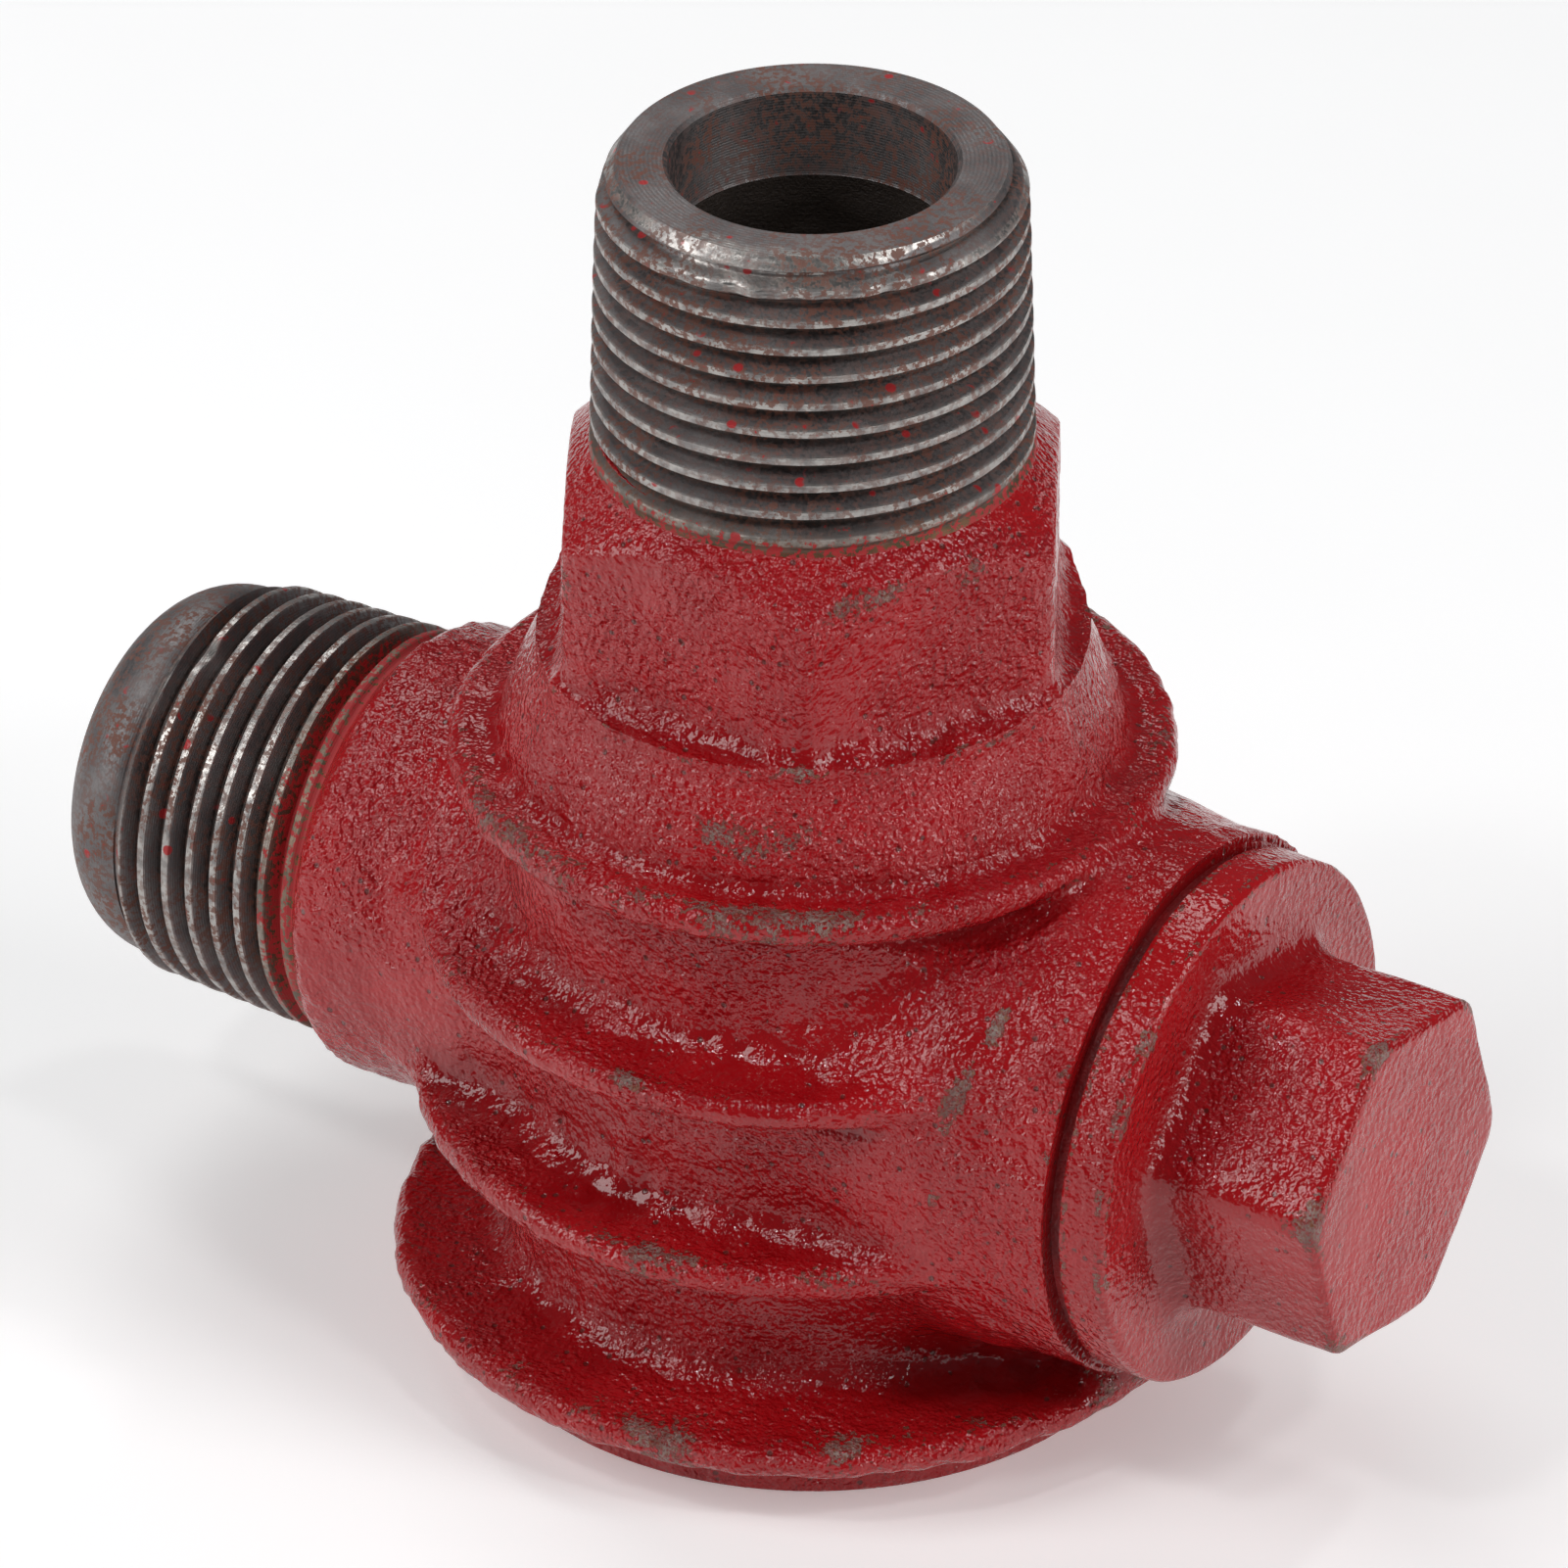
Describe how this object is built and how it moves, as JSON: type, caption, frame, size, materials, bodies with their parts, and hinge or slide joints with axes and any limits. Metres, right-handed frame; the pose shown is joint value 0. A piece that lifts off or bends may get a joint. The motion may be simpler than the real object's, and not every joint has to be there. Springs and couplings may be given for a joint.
{
  "type": "air compressor check valve",
  "caption": "Angle check valve of cast iron with a ribbed body, two male taper pipe threads at right angles, a hexagonal neck and a screwed access plug over a sprung poppet.",
  "frame": {"origin": "centre of the flat base, on the axis of the outlet port", "axes": "+Z along the outlet port, away from the base; -X along the inlet port; +X along the access plug"},
  "size_m": [0.1147, 0.0658, 0.1027],
  "materials": {
    "painted_casting": "glossy red paint over coarse cast grain, bare machined threads",
    "painted_plug": "glossy red paint over cast grain, worn on the corners",
    "gasket_fibre": "dark pressed fibre, matte",
    "seat_brass": "turned",
    "poppet_brass": "turned",
    "seal_plastic": "waxy white",
    "plated_steel": "zinc plated",
    "spring_steel": "drawn wire"
  },
  "bodies": {
    "casting": {"valve_body": "painted_casting", "seat_ring": "seat_brass"},
    "gasket": {"plug_gasket": "gasket_fibre"},
    "plug": {"access_plug": "painted_plug", "valve_spring": "spring_steel"},
    "poppet": {"valve_poppet": "poppet_brass", "seal_disc": "seal_plastic", "seal_washer": "plated_steel", "seal_screw": "plated_steel"}
  },
  "joints": [
    {"name": "plug_travel", "type": "slide", "parent": "casting", "child": "gasket", "axis": [1, 0, 0], "range_m": [0, 0.018]},
    {"name": "plug_turn", "type": "hinge", "parent": "gasket", "child": "plug", "pos_m": [0.04, 0, 0.03], "axis": [1, 0, 0], "range_deg": [0, 3240]},
    {"name": "poppet_lift", "type": "slide", "parent": "casting", "child": "poppet", "axis": [1, 0, 0], "range_m": [0, 0.005], "stiffness_N_per_m": 300, "springref_m": -0.007, "deforming": ["valve_spring"]}
  ],
  "couplings": [
    {"joint": "plug_turn", "follows": "plug_travel", "rad_per_m": 3141.6}
  ]
}
